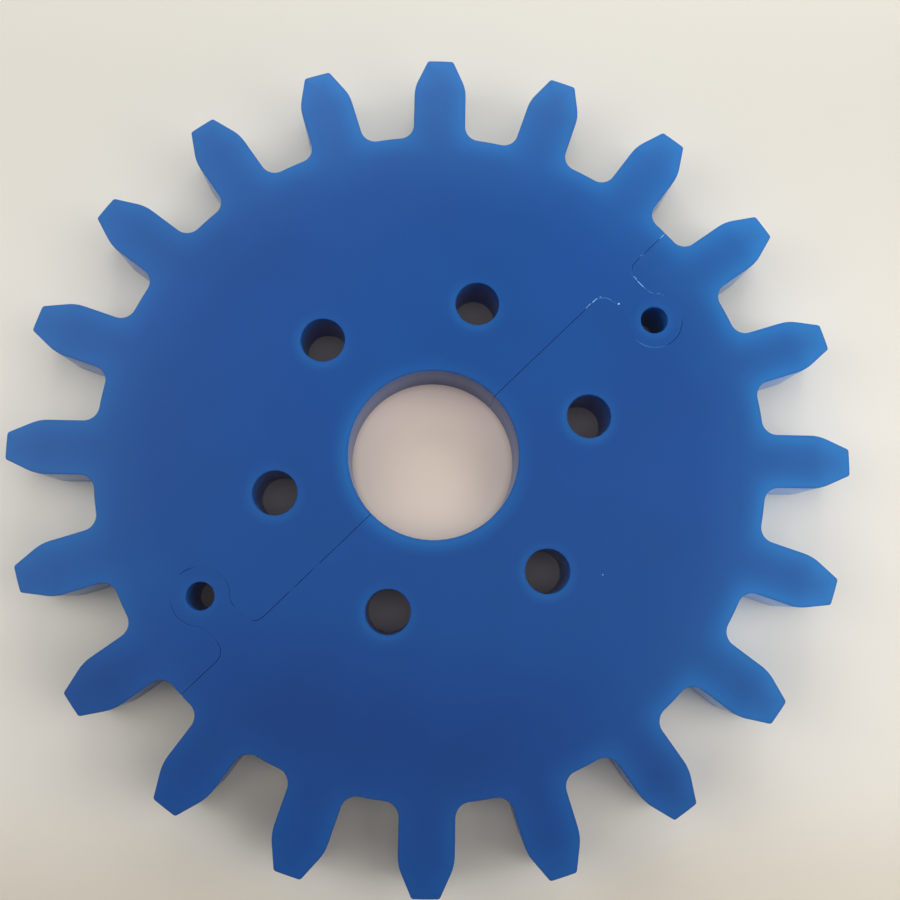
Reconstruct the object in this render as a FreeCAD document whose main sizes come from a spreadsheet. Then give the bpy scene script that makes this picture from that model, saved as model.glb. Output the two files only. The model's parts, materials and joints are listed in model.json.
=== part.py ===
import FreeCAD, Part
import math
import os
from enum import IntEnum
from types import SimpleNamespace

import Sketcher

# A split plate sprocket for a wide mesh belt, cut from flat plastic plate.
# Two equal halves close round a shaft. A round knob on each half seats in a socket of the other.
#
# The frame: origin on the shaft axis in the lower face, Z along the shaft, X along the split line.
# The rear half has its teeth at +Y, and the front half is the same piece turned half round.

DRIVING_SIZES = (
    ("outer_diameter", 250.0, "over the tooth tips"),
    ("plate_thickness", 20.0, "flat stock"),
    ("bore_diameter", 50.8, "shaft bore, two inches"),
    ("teeth_per_half", 10, "whole teeth, half a pitch clear of the split line at each end"),
    ("tooth_height", 25.4, "tooth floor to tip, one inch"),
    ("tooth_width", 16.0, "between the parallel flanks"),
    ("tip_width", 7.8, "where the tapers would meet the tip circle"),
    ("taper_length", 9.0, "tip circle down to where taper and flank would meet"),
    ("shoulder_radius", 12.0, "round between flank and taper"),
    ("tip_radius", 1.0, "round between taper and tip"),
    ("root_radius", 4.5, "round between flank and tooth floor"),
    ("bolts_per_half", 3, "the first is half a spacing from the split line"),
    ("bolt_circle_diameter", 96.0, "through the bolt hole centres"),
    ("bolt_hole_diameter", 13.2, "clearance for M12"),
    ("knob_inset", 22.4, "tooth floor circle in to the knob centre, along the split line"),
    ("knob_diameter", 17.0, "round head of the knob"),
    ("knob_hole_diameter", 8.2, "through hole in the middle of the knob"),
    ("neck_width", 10.2, "between the straight sides of the neck"),
    ("neck_length", 4.4, "straight stretch of each side of the neck"),
    ("neck_radius", 4.0, "rounds from the split line to the neck and from the neck to the knob"),
    ("knob_play", 0.1, "clearance round a knob in its socket"),
    ("split_gap", 0.15, "clearance between the straight faces of the split"),
    ("edge_break", 0.15, "on the rims of the teeth, bore and holes, not along the split"),
)

HALVES = (("rear_half", 0.0), ("front_half", 180.0))
AXIS = FreeCAD.Vector(0, 0, 1)
SOLVED = 0
CLOSE = 1e-4


class Spot(IntEnum):
    """The points of a sketch element, as a constraint counts them."""

    START = 1
    END = 2
    CENTRE = 3


SKETCH_ORIGIN = (-1, Spot.START)


def new_sheet(doc):
    """Writes the driving sizes to a sheet, one row each: name, value, meaning."""
    sheet = doc.addObject("Spreadsheet::Sheet", "sizes")
    for row, (alias, value, meaning) in enumerate(DRIVING_SIZES, start=1):
        sheet.set(f"A{row}", alias)
        sheet.set(f"B{row}", str(value))
        sheet.set(f"C{row}", meaning)
        sheet.setAlias(f"B{row}", alias)
    doc.recompute()
    return sheet


def read_sizes(sheet):
    """Reads the sheet back, with the radii that the sketches start from."""
    size = SimpleNamespace(**{alias: sheet.get(alias) for alias, _, _ in DRIVING_SIZES})
    size.outer_r = size.outer_diameter / 2
    size.floor_r = size.outer_r - size.tooth_height
    size.bore_r = size.bore_diameter / 2
    size.face_y = size.split_gap / 2
    size.knob_x = size.floor_r - size.knob_inset
    return size


def turned(point, degrees):
    """The point turned about the shaft axis."""
    return FreeCAD.Rotation(AXIS, degrees).multVec(point)


def at(x, y):
    """A point of a sketch."""
    return FreeCAD.Vector(x, y, 0)


def rise(longest, across):
    """The other short side of a right-angled triangle."""
    return math.sqrt(longest**2 - across**2)


def origin_part(body, role):
    """A plane or axis of the body's own origin."""
    return next(part for part in body.Origin.OriginFeatures if part.Role == role)


def new_sketch(body, name):
    """An empty sketch on the body's lower face."""
    sketch = body.newObject("Sketcher::SketchObject", name)
    sketch.AttachmentSupport = [(origin_part(body, "XY_Plane"), "")]
    sketch.MapMode = "FlatFace"
    return sketch


def drive(sketch, kind, name, expression, *elements):
    """Adds a dimension to the sketch that follows the sheet."""
    value = float(sketch.evalExpression(expression))
    index = sketch.addConstraint(Sketcher.Constraint(kind, *elements, value))
    sketch.renameConstraint(index, name)
    sketch.setExpression(f"Constraints.{name}", expression)


class Pen:
    """Draws one closed outline in a sketch, each stretch tied to the end of the last."""

    def __init__(self, sketch, start):
        self.sketch = sketch
        self.place = start
        self.first = None
        self.last = None

    def _join(self, stretch, smooth):
        """Ties the start of a stretch to the end of the one before."""
        if self.last is None:
            self.first = stretch
        else:
            kind = "Tangent" if smooth else "Coincident"
            before, after = self.last, stretch
            self.sketch.addConstraint(Sketcher.Constraint(kind, before[0], before[2], after[0], after[1]))
        self.last = stretch
        return stretch[0]

    def line(self, end, smooth=False):
        """Draws a straight stretch and gives its index."""
        index = self.sketch.addGeometry(Part.LineSegment(self.place, end))
        self.place = end
        return self._join((index, Spot.START, Spot.END), smooth)

    def arc(self, centre, end, leftward, smooth=True):
        """Draws an arc that turns left or right about its centre and gives its index."""
        radius = (self.place - centre).Length
        begin, finish = (self.place, end) if leftward else (end, self.place)
        first_angle = math.atan2(begin.y - centre.y, begin.x - centre.x)
        last_angle = math.atan2(finish.y - centre.y, finish.x - centre.x)
        circle = Part.Circle(centre, AXIS, radius)
        index = self.sketch.addGeometry(Part.ArcOfCircle(circle, first_angle, last_angle))
        self.place = end
        ends = (Spot.START, Spot.END) if leftward else (Spot.END, Spot.START)
        return self._join((index, *ends), smooth)

    def close(self):
        """Ties the end of the last stretch to the start of the first, at a corner."""
        self.sketch.addConstraint(
            Sketcher.Constraint("Coincident", self.last[0], self.last[2], self.first[0], self.first[1])
        )


def draw_knob(pen, size, name, side, play, play_text):
    """Draws a knob or the socket for one, from left to right along the split face.

    side is -1 for a knob, which hangs below the face, and 1 for a socket, which rises above it.
    play is what the outline stands off the bare knob: nothing on a knob, the knob's play on a socket.
    """
    sketch = pen.sketch
    middle = -side * size.knob_x
    half_neck = size.neck_width / 2 + play
    head = size.knob_diameter / 2 + play
    bend = size.neck_radius - play
    mouth_y = size.face_y + side * bend
    bend_y = mouth_y + side * size.neck_length
    head_y = bend_y + side * rise(head + bend, half_neck + bend)
    head_centre = at(middle, head_y)

    def touch(bend_centre):
        """Where a round of the neck meets the head."""
        return head_centre + (bend_centre - head_centre) * (head / (head + bend))

    left, right = middle - half_neck, middle + half_neck
    into, back = at(left - bend, mouth_y), at(right + bend, mouth_y)
    enter, leave = at(left - bend, bend_y), at(right + bend, bend_y)
    up = side > 0

    bends = [pen.arc(into, at(left, mouth_y), leftward=up)]
    sides = [pen.line(at(left, bend_y), smooth=True)]
    bends.append(pen.arc(enter, touch(enter), leftward=up))
    round_head = pen.arc(head_centre, touch(leave), leftward=not up)
    bends.append(pen.arc(leave, at(right, bend_y), leftward=up))
    sides.append(pen.line(at(right, mouth_y), smooth=True))
    bends.append(pen.arc(back, at(right + bend, size.face_y), leftward=up))

    for flank in sides:
        sketch.addConstraint(Sketcher.Constraint("Vertical", flank))
    for bend_index in bends[1:]:
        sketch.addConstraint(Sketcher.Constraint("Equal", bends[0], bend_index))
    drive(sketch, "Radius", f"{name}_bend", f"sizes.neck_radius - {play_text}", bends[0])
    drive(sketch, "Radius", f"{name}_head", f"sizes.knob_diameter / 2 + {play_text}", round_head)
    reach = "sizes.outer_diameter / 2 - sizes.tooth_height - sizes.knob_inset"
    ends = [SKETCH_ORIGIN, (round_head, Spot.CENTRE)]
    if up:
        ends.reverse()
    drive(sketch, "DistanceX", f"{name}_reach", reach, *ends[0], *ends[1])
    half_text = f"sizes.neck_width / 2 + {play_text}"
    drive(sketch, "DistanceX", f"{name}_left", half_text, sides[0], Spot.START, round_head, Spot.CENTRE)
    drive(sketch, "DistanceX", f"{name}_right", half_text, round_head, Spot.CENTRE, sides[1], Spot.END)
    lower, upper = (Spot.START, Spot.END) if up else (Spot.END, Spot.START)
    drive(sketch, "DistanceY", f"{name}_neck", "sizes.neck_length", sides[0], lower, sides[0], upper)
    return round_head


def draw_half(sketch, size):
    """Draws half a ring with its split face, the knob to the right and the socket to the left."""
    bore_x = rise(size.bore_r, size.face_y)
    floor_x = rise(size.floor_r, size.face_y)
    mouth = size.neck_width / 2 + size.neck_radius
    faces = []

    pen = Pen(sketch, at(bore_x, size.face_y))
    faces.append(pen.line(at(size.knob_x - mouth, size.face_y)))
    knob = draw_knob(pen, size, "knob", -1, 0.0, "0")
    faces.append(pen.line(at(floor_x, size.face_y), smooth=True))
    floor = pen.arc(at(0, 0), at(-floor_x, size.face_y), leftward=True, smooth=False)
    faces.append(pen.line(at(-size.knob_x - mouth, size.face_y)))
    draw_knob(pen, size, "socket", 1, size.knob_play, "sizes.knob_play")
    faces.append(pen.line(at(-bore_x, size.face_y), smooth=True))
    bore = pen.arc(at(0, 0), at(bore_x, size.face_y), leftward=False, smooth=False)
    pen.close()

    for number, face in enumerate(faces):
        sketch.addConstraint(Sketcher.Constraint("Horizontal", face))
        drive(sketch, "DistanceY", f"face_{number}", "sizes.split_gap / 2", *SKETCH_ORIGIN, face, Spot.START)
    for circle in (bore, floor):
        sketch.addConstraint(Sketcher.Constraint("Coincident", circle, Spot.CENTRE, *SKETCH_ORIGIN))
    drive(sketch, "Radius", "bore", "sizes.bore_diameter / 2", bore)
    drive(sketch, "Radius", "tooth_floor", "sizes.outer_diameter / 2 - sizes.tooth_height", floor)

    middle = sketch.getPoint(knob, Spot.CENTRE)
    hole = sketch.addGeometry(Part.Circle(middle, AXIS, size.knob_hole_diameter / 2))
    sketch.addConstraint(Sketcher.Constraint("Coincident", hole, Spot.CENTRE, knob, Spot.CENTRE))
    drive(sketch, "Diameter", "knob_hole", "sizes.knob_hole_diameter", hole)


def draw_tooth(sketch, size):
    """Draws one tooth about the sketch's X axis, from inside the floor circle to the tip."""
    half_width, half_tip = size.tooth_width / 2, size.tip_width / 2
    shoulder_x = size.outer_r - size.taper_length
    lean = math.atan2(half_width - half_tip, size.taper_length)
    along = at(math.cos(lean), -math.sin(lean))
    outward = at(math.sin(lean), math.cos(lean))
    base_x = size.floor_r - size.root_radius

    # The shoulder's round stands equally far along the flank and along the taper from their corner.
    setback = size.shoulder_radius * math.tan(lean / 2)
    corner = at(shoulder_x, half_width)
    flank_end = at(shoulder_x - setback, half_width)
    taper_start = corner + along * setback
    shoulder_centre = flank_end - at(0, size.shoulder_radius)

    # The tip's round lies inside both the taper and the tip circle.
    inner_line = taper_start - outward * size.tip_radius
    inner_r = size.outer_r - size.tip_radius
    forward = inner_line.dot(along)
    tip_centre = inner_line + along * (math.sqrt(forward**2 - inner_line.Length**2 + inner_r**2) - forward)
    taper_end = tip_centre + outward * size.tip_radius
    tip_corner = tip_centre * (size.outer_r / inner_r)

    def other(point):
        """The point on the other side of the tooth."""
        return at(point.x, -point.y)

    pen = Pen(sketch, at(base_x, -half_width))
    flanks = [pen.line(other(flank_end))]
    shoulders = [pen.arc(other(shoulder_centre), other(taper_start), leftward=True)]
    tapers = [pen.line(other(taper_end), smooth=True)]
    tips = [pen.arc(other(tip_centre), other(tip_corner), leftward=True)]
    crown = pen.arc(at(0, 0), tip_corner, leftward=True)
    tips.append(pen.arc(tip_centre, taper_end, leftward=True))
    tapers.append(pen.line(taper_start, smooth=True))
    shoulders.append(pen.arc(shoulder_centre, flank_end, leftward=True))
    flanks.append(pen.line(at(base_x, half_width), smooth=True))
    base = pen.line(at(base_x, -half_width))
    pen.close()

    for flank in flanks:
        sketch.addConstraint(Sketcher.Constraint("Horizontal", flank))
    sketch.addConstraint(Sketcher.Constraint("Vertical", base))
    sketch.addConstraint(Sketcher.Constraint("Equal", *shoulders))
    sketch.addConstraint(Sketcher.Constraint("Equal", *tips))
    sketch.addConstraint(Sketcher.Constraint("Coincident", crown, Spot.CENTRE, *SKETCH_ORIGIN))
    drive(sketch, "Radius", "crown", "sizes.outer_diameter / 2", crown)
    drive(sketch, "Radius", "shoulder", "sizes.shoulder_radius", shoulders[0])
    drive(sketch, "Radius", "tip", "sizes.tip_radius", tips[0])
    sunk = "sizes.outer_diameter / 2 - sizes.tooth_height - sizes.root_radius"
    drive(sketch, "DistanceX", "base", sunk, *SKETCH_ORIGIN, base, Spot.START)
    drive(sketch, "DistanceY", "lower", "sizes.tooth_width / 2", flanks[0], Spot.START, *SKETCH_ORIGIN)
    drive(sketch, "DistanceY", "upper", "sizes.tooth_width / 2", *SKETCH_ORIGIN, flanks[1], Spot.END)

    # Each taper is held by the two corners that it would have without its rounds.
    reach = "sizes.outer_diameter / 2"
    marks = (
        ("shoulder", shoulder_x, half_width, f"{reach} - sizes.taper_length", "sizes.tooth_width / 2"),
        ("tip", size.outer_r, half_tip, reach, "sizes.tip_width / 2"),
    )
    for name, x, y, x_text, y_text in marks:
        for side, taper, word in ((-1, tapers[0], "lower"), (1, tapers[1], "upper")):
            mark = sketch.addGeometry(Part.Point(at(x, side * y)), True)
            sketch.addConstraint(Sketcher.Constraint("PointOnObject", mark, Spot.START, taper))
            ends = [SKETCH_ORIGIN, (mark, Spot.START)]
            drive(sketch, "DistanceX", f"{word}_{name}_x", x_text, *ends[0], *ends[1])
            if side < 0:
                ends.reverse()
            drive(sketch, "DistanceY", f"{word}_{name}_y", y_text, *ends[0], *ends[1])


def draw_bolt_hole(sketch, size):
    """Draws one bolt hole on the sketch's X axis."""
    middle = at(size.bolt_circle_diameter / 2, 0)
    hole = sketch.addGeometry(Part.Circle(middle, AXIS, size.bolt_hole_diameter / 2))
    sketch.addConstraint(Sketcher.Constraint("PointOnObject", hole, Spot.CENTRE, SKETCH_ORIGIN[0]))
    drive(sketch, "Diameter", "hole", "sizes.bolt_hole_diameter", hole)
    drive(sketch, "DistanceX", "reach", "sizes.bolt_circle_diameter / 2", *SKETCH_ORIGIN, hole, Spot.CENTRE)


def turn_sketch(sketch, per_half):
    """Turns the sketch by half a spacing from the split line."""
    text = f"1 deg * 90 / sizes.{per_half}"
    angle = float(sketch.evalExpression(text))
    sketch.AttachmentOffset = FreeCAD.Placement(at(0, 0), FreeCAD.Rotation(AXIS, angle))
    sketch.setExpression("AttachmentOffset.Rotation.Angle", text)


def pad_up(body, sketch, name):
    """Raises the sketch to the plate's thickness."""
    pad = body.newObject("PartDesign::Pad", name)
    pad.Profile = sketch
    pad.setExpression("Length", "sizes.plate_thickness")
    body.Document.recompute()
    return pad


def cut_through(body, sketch, name):
    """Cuts the sketch through the plate, upward from its lower face."""
    before = body.Shape.Volume
    pocket = body.newObject("PartDesign::Pocket", name)
    pocket.Profile = sketch
    pocket.Type = "ThroughAll"
    pocket.Reversed = True
    body.Document.recompute()
    if not body.Shape.Volume < before:
        raise RuntimeError(f"{name} removes nothing")
    return pocket


def repeat_round(body, feature, name, per_half):
    """Repeats a feature over the half, at equal spacing about the shaft."""
    pattern = body.newObject("PartDesign::PolarPattern", name)
    pattern.Originals = [feature]
    pattern.Axis = (origin_part(body, "Z_Axis"), [""])
    pattern.Mode = "Spacing"
    pattern.setExpression("Offset", f"1 deg * 180 / sizes.{per_half}")
    pattern.setExpression("Occurrences", f"sizes.{per_half}")
    body.Tip = pattern
    body.Document.recompute()
    return pattern


def tooth_corners(size):
    """Where the flanks of the teeth leave the tooth floor, for one half."""
    pitch = 180.0 / size.teeth_per_half
    half_width = size.tooth_width / 2
    x = rise(size.floor_r, half_width)
    middles = [pitch * (tooth + 0.5) for tooth in range(int(size.teeth_per_half))]
    return [turned(at(x, side * half_width), middle) for middle in middles for side in (-1, 1)]


def upright_edges(shape, places):
    """Names of the edges that stand on the given places of the lower face."""
    names = []
    for number, edge in enumerate(shape.Edges, start=1):
        ends = [vertex.Point for vertex in edge.Vertexes]
        if len(ends) == 2 and math.hypot(ends[0].x - ends[1].x, ends[0].y - ends[1].y) < CLOSE:
            if any(math.hypot(ends[0].x - p.x, ends[0].y - p.y) < CLOSE for p in places):
                names.append(f"Edge{number}")
    return names


def rim_edges(shape, size):
    """Names of the flat rims of the teeth, the bore and the holes, without the split."""
    names = []
    for number, edge in enumerate(shape.Edges, start=1):
        if edge.BoundBox.ZLength > CLOSE:
            continue
        points = [vertex.Point for vertex in edge.Vertexes]
        points.append(edge.valueAt((edge.FirstParameter + edge.LastParameter) / 2))
        radii = [math.hypot(point.x, point.y) for point in points]
        outside = min(radii) > size.floor_r - CLOSE
        in_bore = max(radii) < size.bore_r + CLOSE
        if outside or in_bore or edge.isClosed():
            names.append(f"Edge{number}")
    return names


def dress(body, kind, name, edges, property_name, expression):
    """Rounds or chamfers edges of what the body holds so far."""
    if not edges:
        raise RuntimeError(f"{name} has no edges")
    base = body.Tip
    feature = body.newObject(kind, name)
    feature.Base = (base, edges)
    feature.setExpression(property_name, expression)
    body.Document.recompute()
    return feature


def new_half(doc, size, label, degrees):
    """Builds one half: half ring with knob and socket, teeth and their roots, holes, edge breaks."""
    body = doc.addObject("PartDesign::Body", label)
    body.Label = label

    ring = new_sketch(body, f"{label}_ring_outline")
    draw_half(ring, size)
    pad_up(body, ring, f"{label}_ring")

    profile = new_sketch(body, f"{label}_tooth_outline")
    turn_sketch(profile, "teeth_per_half")
    draw_tooth(profile, size)
    tooth = pad_up(body, profile, f"{label}_tooth")
    repeat_round(body, tooth, f"{label}_teeth", "teeth_per_half")
    roots = upright_edges(body.Shape, tooth_corners(size))
    dress(body, "PartDesign::Fillet", f"{label}_tooth_roots", roots, "Radius", "sizes.root_radius")

    circle = new_sketch(body, f"{label}_bolt_circle")
    turn_sketch(circle, "bolts_per_half")
    draw_bolt_hole(circle, size)
    bolt_hole = cut_through(body, circle, f"{label}_bolt_hole")
    repeat_round(body, bolt_hole, f"{label}_bolt_holes", "bolts_per_half")

    rims = rim_edges(body.Shape, size)
    dress(body, "PartDesign::Chamfer", f"{label}_edge_breaks", rims, "Size", "sizes.edge_break")

    body.Placement = FreeCAD.Placement(at(0, 0), FreeCAD.Rotation(AXIS, degrees))
    return body


def check_document(doc, bodies):
    """Stops before anything is written if a feature failed or a half isn't one sound solid."""
    for item in doc.Objects:
        if {"Invalid", "Error"} & set(item.State):
            raise RuntimeError(f"{item.Label} failed: {item.State}")
        if item.TypeId == "Sketcher::SketchObject":
            if item.solve() != SOLVED or not item.FullyConstrained:
                raise RuntimeError(f"{item.Label} isn't fully constrained")
    for body in bodies:
        shape = body.Shape
        if shape.isNull() or not shape.isValid() or len(shape.Solids) != 1:
            raise RuntimeError(f"{body.Label} isn't one sound solid")


def main():
    doc = FreeCAD.newDocument("split_sprocket")
    size = read_sizes(new_sheet(doc))
    bodies = [new_half(doc, size, label, degrees) for label, degrees in HALVES]
    doc.recompute()
    check_document(doc, bodies)

    os.makedirs("parts", exist_ok=True)
    for body in bodies:
        body.Shape.exportStep(f"parts/{body.Label}.step")
        box = body.Shape.BoundBox
        print(
            f"{body.Label}: {body.Shape.Volume / 1000:.2f} cm3, X {box.XMin:.2f} to {box.XMax:.2f},"
            f" Y {box.YMin:.2f} to {box.YMax:.2f}, Z {box.ZMin:.2f} to {box.ZMax:.2f}"
        )


main()
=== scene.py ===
"""Split plate sprocket in blue plastic: the finish, painted glow and shade of the halves, their burrs,
floor, light and camera.
"""

import json
import logging
import math
from dataclasses import dataclass
from enum import Enum
from typing import Union

import bmesh
import bpy
from mathutils import Matrix, Vector


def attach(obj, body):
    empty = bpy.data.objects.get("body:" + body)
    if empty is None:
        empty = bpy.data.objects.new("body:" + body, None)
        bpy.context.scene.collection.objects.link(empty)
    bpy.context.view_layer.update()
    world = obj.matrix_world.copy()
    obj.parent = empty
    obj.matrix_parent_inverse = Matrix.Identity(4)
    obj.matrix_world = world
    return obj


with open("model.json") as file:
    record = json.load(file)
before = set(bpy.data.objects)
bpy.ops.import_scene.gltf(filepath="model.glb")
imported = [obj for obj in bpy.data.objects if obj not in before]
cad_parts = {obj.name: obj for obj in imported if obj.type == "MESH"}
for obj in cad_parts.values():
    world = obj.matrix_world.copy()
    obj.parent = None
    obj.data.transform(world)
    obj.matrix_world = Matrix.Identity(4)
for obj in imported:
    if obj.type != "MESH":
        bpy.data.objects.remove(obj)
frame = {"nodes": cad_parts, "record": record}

LOG = logging.getLogger("split_sprocket")
MM = 0.001
UP = Vector((0.0, 0.0, 1.0))

# How a colour value between 0 and 1, as it is seen, turns into light.
SRGB_KNEE = 0.04045
SRGB_SLOPE = 12.92
SRGB_OFFSET = 0.055
SRGB_POWER = 2.4

Socket = bpy.types.NodeSocket
Sockets = bpy.types.bpy_prop_collection
Value = Union[float, Socket]
Pair = tuple[Value, Value]
Triple = tuple[float, float, float]

# Red, green and blue factors by which a colour is multiplied.
Tint = Triple

# Two values, at which a change over the surface starts and ends.
Band = tuple[float, float]

# Scale, detail and roughness of a noise.
NoiseKind = Triple


def tone(code: str) -> tuple[float, float, float, float]:
    """Turns a colour as it is seen into the linear values that a shader takes.

    Args:
        code: six hexadecimal digits, red, green and blue.

    Returns:
        Red, green, blue and an alpha of 1.
    """
    linear = []
    for start in (0, 2, 4):
        share = int(code[start:start + 2], 16) / 255
        if share <= SRGB_KNEE:
            linear.append(share / SRGB_SLOPE)
        else:
            linear.append(((share + SRGB_OFFSET) / (1 + SRGB_OFFSET)) ** SRGB_POWER)
    return (*linear, 1.0)


def toward(bearing: float, rise: float = 0.0) -> Vector:
    """Gives a direction of length 1 from its bearing round the shaft and its rise, in degrees."""
    turn, lift = math.radians(bearing), math.radians(rise)
    return Vector((math.cos(turn) * math.cos(lift), math.sin(turn) * math.cos(lift), math.sin(lift)))


def new_piece(name: str, data: bpy.types.ID) -> bpy.types.Object:
    """Puts a new object with the given mesh, lamp or camera in the scene."""
    piece = bpy.data.objects.new(name, data)
    bpy.context.scene.collection.objects.link(piece)
    return piece


class MathStep(Enum):
    """The sums that the shader groups do on numbers."""

    ADD = "ADD"
    LESS = "SUBTRACT"
    TIMES = "MULTIPLY"
    OVER = "DIVIDE"
    SINE = "SINE"
    COSINE = "COSINE"
    ANGLE = "ARCTAN2"
    FOLD = "PINGPONG"
    ROOT = "SQRT"
    POWER = "POWER"
    SIZE = "ABSOLUTE"
    SIGN = "SIGN"
    LOWEST = "MINIMUM"
    HIGHEST = "MAXIMUM"
    SOFT_HIGHEST = "SMOOTH_MAX"
    ABOVE = "GREATER_THAN"


class Wiring:
    """Places nodes in one node tree and links them."""

    def __init__(self, tree: bpy.types.NodeTree) -> None:
        """Starts in an emptied tree."""
        self.tree = tree
        self.tree.nodes.clear()

    def add(self, kind: str, **settings: object) -> bpy.types.Node:
        """Places one node.

        Args:
            kind: Blender's name of the node type.
            settings: attributes of the node.

        Returns:
            The node.
        """
        node = self.tree.nodes.new(kind)
        for name, value in settings.items():
            setattr(node, name, value)
        return node

    def feed(self, socket: Socket, value: object) -> None:
        """Links a socket to an output, or sets it to a plain value."""
        if isinstance(value, Socket):
            self.tree.links.new(value, socket)
        else:
            socket.default_value = value

    def feed_all(self, node: bpy.types.Node, values: dict[str, object]) -> None:
        """Feeds inputs of a node by name."""
        for name, value in values.items():
            self.feed(node.inputs[name], value)

    def sum(self, step: MathStep, *values: Value) -> Socket:
        """Does one sum on one to three numbers and gives its result."""
        node = self.add("ShaderNodeMath", operation=step.value)
        for socket, value in zip(node.inputs, values):
            self.feed(socket, value)
        return node.outputs[0]

    def times(self, first: Value, second: Value) -> Socket:
        """Multiplies two numbers."""
        return self.sum(MathStep.TIMES, first, second)

    def less(self, first: Value, second: Value) -> Socket:
        """Takes the second number from the first."""
        return self.sum(MathStep.LESS, first, second)

    def gather(self, start: Value, *pairs: Pair) -> Value:
        """Adds the product of each pair to a starting value and gives the total."""
        total = start
        for first, second in pairs:
            total = self.sum(MathStep.ADD, total, self.times(first, second))
        return total

    def ramp(self, value: Value, start: Value, end: Value, low: Value = 0.0, high: Value = 1.0) -> Socket:
        """Goes smoothly from one value to another.

        Args:
            value: what drives the change.
            start: where it starts.
            end: where it ends, which may lie below the start.
            low: the value before the start.
            high: the value past the end.

        Returns:
            The changing value.
        """
        node = self.add("ShaderNodeMapRange", interpolation_type="SMOOTHSTEP")
        ends = {"From Min": start, "From Max": end, "To Min": low, "To Max": high}
        self.feed_all(node, {"Value": value, **ends})
        return node.outputs["Result"]

    def blend(self, share: Value, first: object, second: object, way: str = "MIX") -> Socket:
        """Mixes two colours.

        Args:
            share: how much of the second colour comes in, from 0 to 1.
            first: the colour that is there.
            second: the colour that comes in.
            way: Blender's name of the way to mix.

        Returns:
            The mixed colour.
        """
        node = self.add("ShaderNodeMix", data_type="RGBA", blend_type=way)
        self.feed(node.inputs["Factor"], share)
        colours = [socket for socket in node.inputs if socket.type == "RGBA"]
        self.feed(colours[0], first)
        self.feed(colours[1], second)
        return next(socket for socket in node.outputs if socket.type == "RGBA")

    def grey(self, value: Value) -> Socket:
        """Gives a colour whose red, green and blue have one value."""
        node = self.add("ShaderNodeCombineColor")
        for socket in node.inputs:
            self.feed(socket, value)
        return node.outputs[0]

    def noise(self, place: Value, scale: float, detail: float, roughness: float) -> Socket:
        """Gives a soft random value over the surface."""
        node = self.add("ShaderNodeTexNoise")
        self.feed_all(node, {"Vector": place, "Scale": scale, "Detail": detail, "Roughness": roughness})
        return node.outputs["Fac"]

    def stretch(self, place: Value, scale: Triple, turn: float = 0.0) -> Socket:
        """Scales the coordinates that a pattern reads, and turns them by degrees about the shaft."""
        node = self.add("ShaderNodeMapping")
        self.feed_all(node, {"Vector": place, "Scale": scale, "Rotation": UP * math.radians(turn)})
        return node.outputs["Vector"]

    def parts(self, place: Value) -> Sockets:
        """Splits a vector into its X, Y and Z."""
        node = self.add("ShaderNodeSeparateXYZ")
        self.feed(node.inputs[0], place)
        return node.outputs

    def combine(self, operation: str, first: Value, second: object = (0.0, 0.0, 0.0)) -> Sockets:
        """Does one operation on two vectors and gives its outputs."""
        node = self.add("ShaderNodeVectorMath", operation=operation)
        self.feed(node.inputs[0], first)
        self.feed(node.inputs[1], second)
        return node.outputs

    def bump(self, height: Value, strength: float, distance: float) -> Socket:
        """Turns a height from 0 to 1 into a normal, for marks that stand up by a distance in metres."""
        node = self.add("ShaderNodeBump")
        self.feed_all(node, {"Strength": strength, "Distance": distance, "Height": height})
        return node.outputs[0]


def new_material(name: str) -> tuple[bpy.types.Material, Wiring, Sockets]:
    """Starts a material with a Principled shader on its surface.

    Args:
        name: the material's name.

    Returns:
        The material, its wiring and the shader's inputs.
    """
    made = bpy.data.materials.new(name)
    made.use_nodes = True
    wiring = Wiring(made.node_tree)
    output = wiring.add("ShaderNodeOutputMaterial")
    shader = wiring.add("ShaderNodeBsdfPrincipled")
    wiring.feed(output.inputs["Surface"], shader.outputs[0])
    return made, wiring, shader.inputs


class Effect:
    """A shader node group with named inputs and outputs, built once."""

    name = "effect"
    inputs: tuple[tuple[str, str, float], ...] = (("Place", "NodeSocketVector", 0.0),)
    outputs: tuple[str, ...] = ()

    def group(self) -> bpy.types.NodeTree:
        """Gives the group, which the first call builds."""
        tree = bpy.data.node_groups.get(self.name)
        if tree is None:
            tree = bpy.data.node_groups.new(self.name, "ShaderNodeTree")
            for name, kind, start in self.inputs:
                socket = tree.interface.new_socket(name, in_out="INPUT", socket_type=kind)
                if kind == "NodeSocketFloat":
                    socket.default_value = start
            for name in self.outputs:
                tree.interface.new_socket(name, in_out="OUTPUT", socket_type="NodeSocketFloat")
            wiring = Wiring(tree)
            given = wiring.add("NodeGroupInput")
            results = wiring.add("NodeGroupOutput")
            self.build(wiring, given.outputs, results.inputs)
        return tree

    def build(self, wiring: Wiring, given: Sockets, results: Sockets) -> None:
        """Wires the group's inside.

        Args:
            wiring: the group's wiring.
            given: the group's inputs by name.
            results: what its outputs are fed through, by name.
        """
        raise NotImplementedError

    def place(self, wiring: Wiring, **values: object) -> Sockets:
        """Places the group in a material or in another group.

        Args:
            wiring: where it goes.
            values: the group's inputs by name, each a socket or a number.

        Returns:
            The outputs of the placed group.
        """
        node = wiring.add("ShaderNodeGroup", label=self.name, node_tree=self.group())
        wiring.feed_all(node, values)
        return node.outputs


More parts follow.
